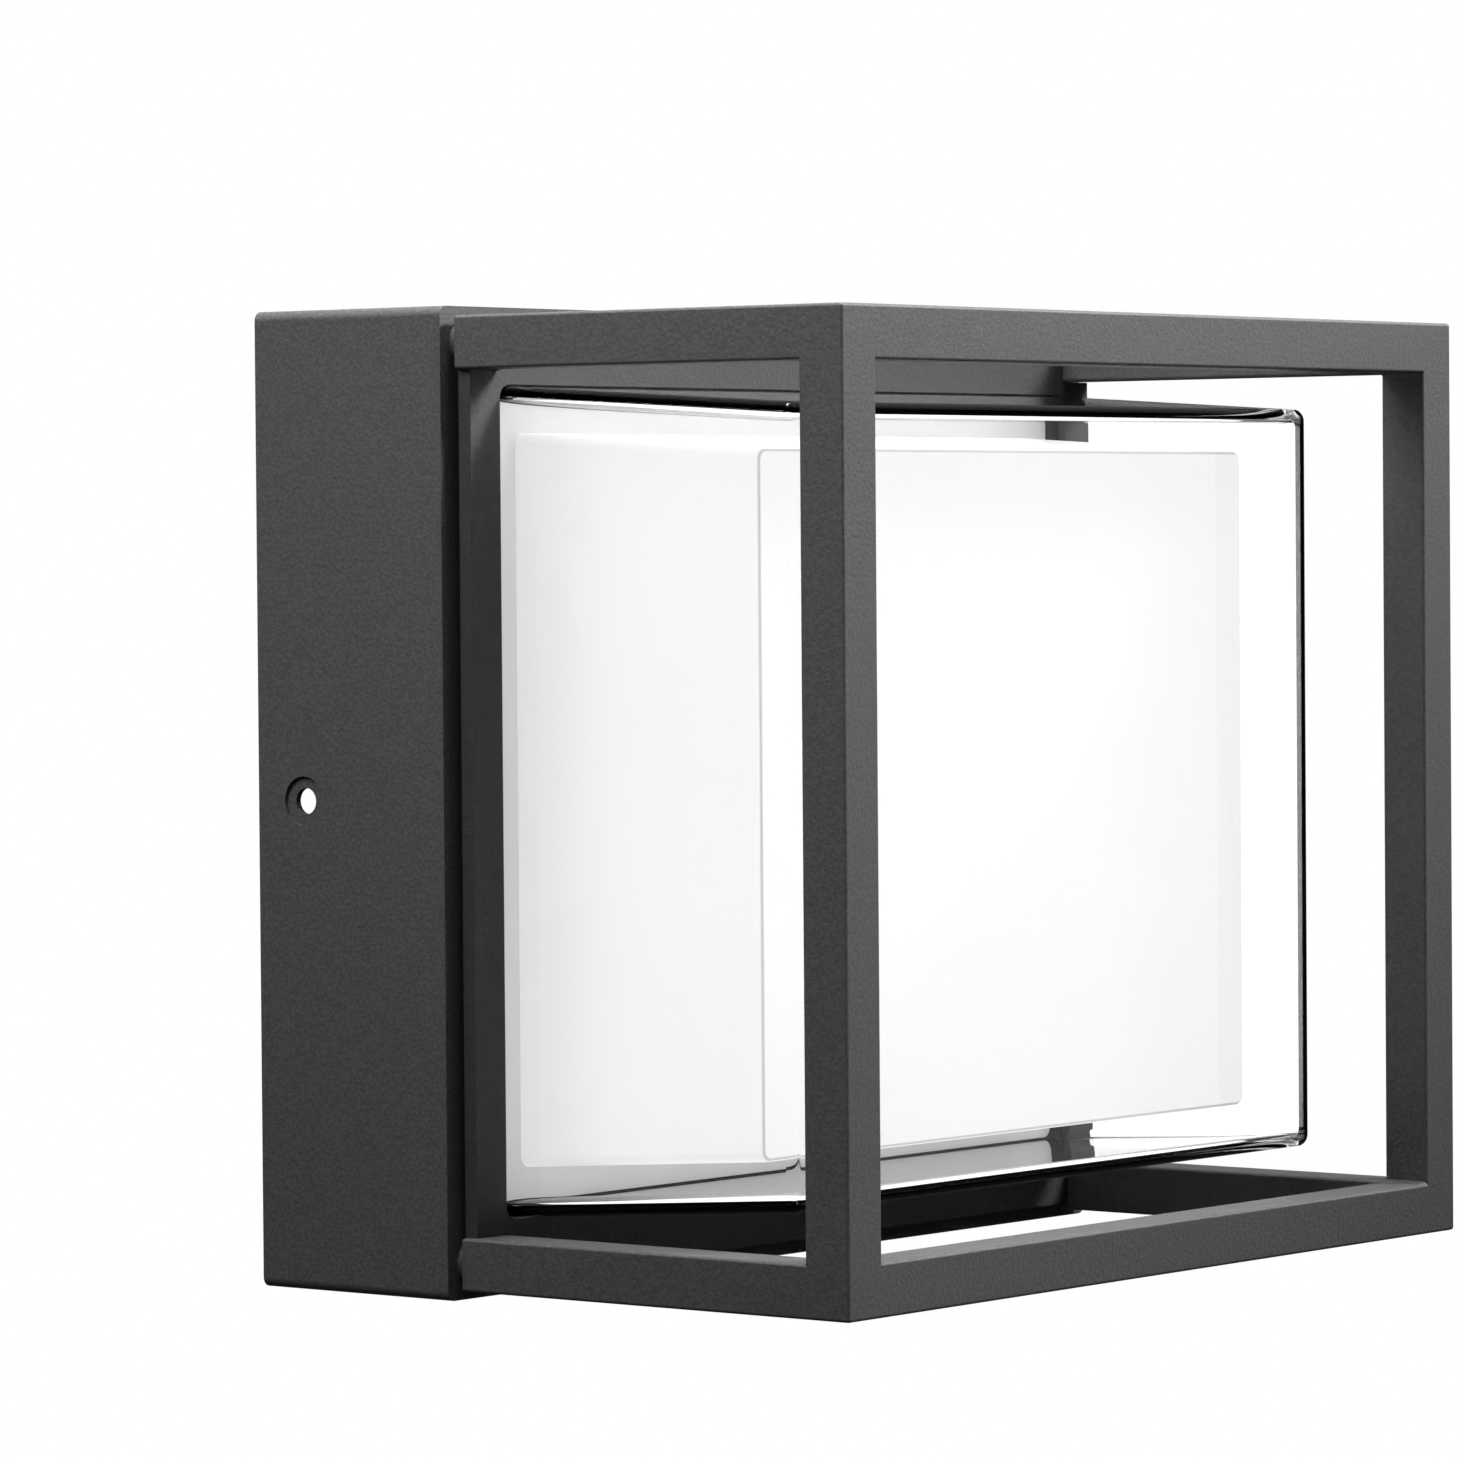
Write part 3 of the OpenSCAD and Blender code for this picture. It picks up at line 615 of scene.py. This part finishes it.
def make_light_box():
    """Outside, then the back edge, then the inside. The back edge is the step between the two."""
    low, high = (np.array(corner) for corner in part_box("opal_diffuser"))
    back, front = high[1], low[1]
    outside = tapered_skin(high[0], high[2], OPAL_DRAW, OPAL_DRAW, back, front,
                           OPAL_EDGE, OPAL_CORNER)
    inside = tapered_skin(high[0] - OPAL_WALL, high[2] - OPAL_WALL, OPAL_DRAW, OPAL_DRAW, back,
                          front + OPAL_WALL, OPAL_INNER_EDGE, OPAL_INNER_CORNER)
    rings = np.concatenate([outside, inside[::-1]])
    grid = ring_grid(rings)
    quads = ring_quads(*grid.shape[:2])
    box = make_piece("light_box", grid.reshape(-1, 3), quads, opal, "lantern")
    # painted shade on the front edge's rounding
    paint_edge_shade(box, front, OPAL_EDGE)
    keep_flats_flat(box)
    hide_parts("opal_diffuser")
    return box


def paint_edge_shade(box, front, edge):
    """Painted shade: a value for each point, 1 in the middle of the front edge's rounding, where it
    has turned by the shade's start and end angles from the front, and 0 elsewhere; the light box's
    colour and glow are darkened to a grey there. Turned by t, the edge is edge(1 - cos t) deep."""
    mesh = box.data
    places = np.empty(len(mesh.vertices) * 3)
    mesh.vertices.foreach_get("co", places)
    depth = (places[1::3] - front) / edge
    start, end = 1 - math.cos(EDGE_SHADE_FROM), 1 - math.cos(EDGE_SHADE_TO)
    rim = ((depth > start) & (depth < end)).astype(float)
    mesh.attributes.new("rim", "FLOAT", "POINT").data.foreach_set("value", rim)


light_box = make_light_box()
print("light box:", len(light_box.data.polygons), "faces")

# %% [markdown]
# ## Studio
# In a product picture the background is pure white, while the lantern itself is lit from above,
# bright at its top and darker towards its foot. One plain white world can't do both, so the
# world has two answers: what the lens sees, directly or through clear plastic, is white, and
# what lights the surfaces is a soft sky that is bright overhead and dark below.

# %% World
WHITE = (1.0, 1.0, 1.0)
SEEN_THROUGH_PLASTIC = 1.2
SKY = [(0.0, (0.004, 0.004, 0.004)), (0.45, (0.02, 0.02, 0.02)), (0.6, (0.07, 0.07, 0.07)),
       (1.0, (0.8, 0.8, 0.8))]


def seen(tree, seen_colour, light_colour):
    """seen_colour for rays from the lens, brighter for rays through clear plastic, which lose
    some of their light at each surface, and light_colour for all others."""
    path = tree.node("ShaderNodeLightPath", {}, {})
    direct = Value(tree, path.socket.node.outputs["Is Camera Ray"])
    through = Value(tree, path.socket.node.outputs["Is Transmission Ray"])
    lit = tree.mix(direct, light_colour, seen_colour)
    return tree.mix(through, lit, tuple(SEEN_THROUGH_PLASTIC * c for c in seen_colour))


def make_world():
    """The sky's brightness follows the height of the ray: share = 0.5 + 0.5 z."""
    world = bpy.data.worlds.new("studio")
    bpy.context.scene.world = world
    tree = Tree("studio", world)
    ray = tree.node("ShaderNodeTexCoord", {}, {}, "Generated")
    height = tree.node("ShaderNodeSeparateXYZ", {}, {0: ray}, "Z")
    sky = tree.node("ShaderNodeValToRGB", {"stops": SKY}, {0: 0.5 + 0.5 * height})
    tree.set(Color=seen(tree, WHITE, sky), Strength=1.0)


make_world()
print("world ready")

# %% [markdown]
# ## The floor
# The floor is a plain pale sheet. It answers rays as the world does: white to the lens, dim to
# everything else, so that it doesn't throw light up at the underside of the lantern.

# %% Floor
FLOOR_DROP = 0.25
FLOOR_SIZE = 12.0
FLOOR_GLOW = (0.05, 0.05, 0.05)


def make_floor():
    """A sheet that looks as white as the world and passes little light up to the lantern."""
    level = cad_box[0][2] - FLOOR_DROP
    half = FLOOR_SIZE / 2
    mesh = bpy.data.meshes.new("floor")
    mesh.from_pydata([(-half, -half, level), (half, -half, level), (half, half, level),
                      (-half, half, level)], [], [(0, 1, 2, 3)])
    tree = Tree("floor_paper")
    tree.set(Base_Color=(0.0, 0.0, 0.0), Roughness=1.0, Specular_IOR_Level=0.0)
    tree.set(Emission_Color=seen(tree, WHITE, FLOOR_GLOW), Emission_Strength=1.0)
    mesh.materials.append(tree.material)
    floor = bpy.data.objects.new("floor", mesh)
    bpy.context.scene.collection.objects.link(floor)


make_floor()
print("floor ready")


# %% [markdown]
# ## The lights
# Three soft rectangular lights, each as narrow as a light with a grid on its front. One stands
# off to the front right, one hangs close on the left and one is overhead.

# %% Lights
def make_light(name, place, aim, size, spread, power):
    """A soft rectangular light that shines from place towards aim, within the spread angle in
    degrees as a grid on its front would make it. The lens doesn't see it, directly or through
    clear plastic."""
    data = bpy.data.lights.new(name, "AREA")
    data.shape = "RECTANGLE"
    data.size, data.size_y = size
    data.spread = math.radians(spread)
    data.energy = power
    light = bpy.data.objects.new(name, data)
    light.location = place
    light.rotation_euler = (Vector(aim) - Vector(place)).to_track_quat("-Z", "Y").to_euler()
    light.visible_camera = False
    light.visible_transmission = False
    bpy.context.scene.collection.objects.link(light)


make_light("front_light", (0.55, -0.85, 0.75), (0.03, -0.15, 0.165), (0.5, 0.3), 40, 2.4)
make_light("left_light", (-0.42, 0.0, 0.38), (-0.11, -0.05, 0.05), (0.3, 0.3), 90, 0.92)
make_light("top_light", (0.0, -0.10, 1.0), (0.0, -0.10, 0.0), (0.4, 0.4), 60, 3.8)
bpy.context.scene.view_settings.view_transform = "Standard"
print("lights ready")
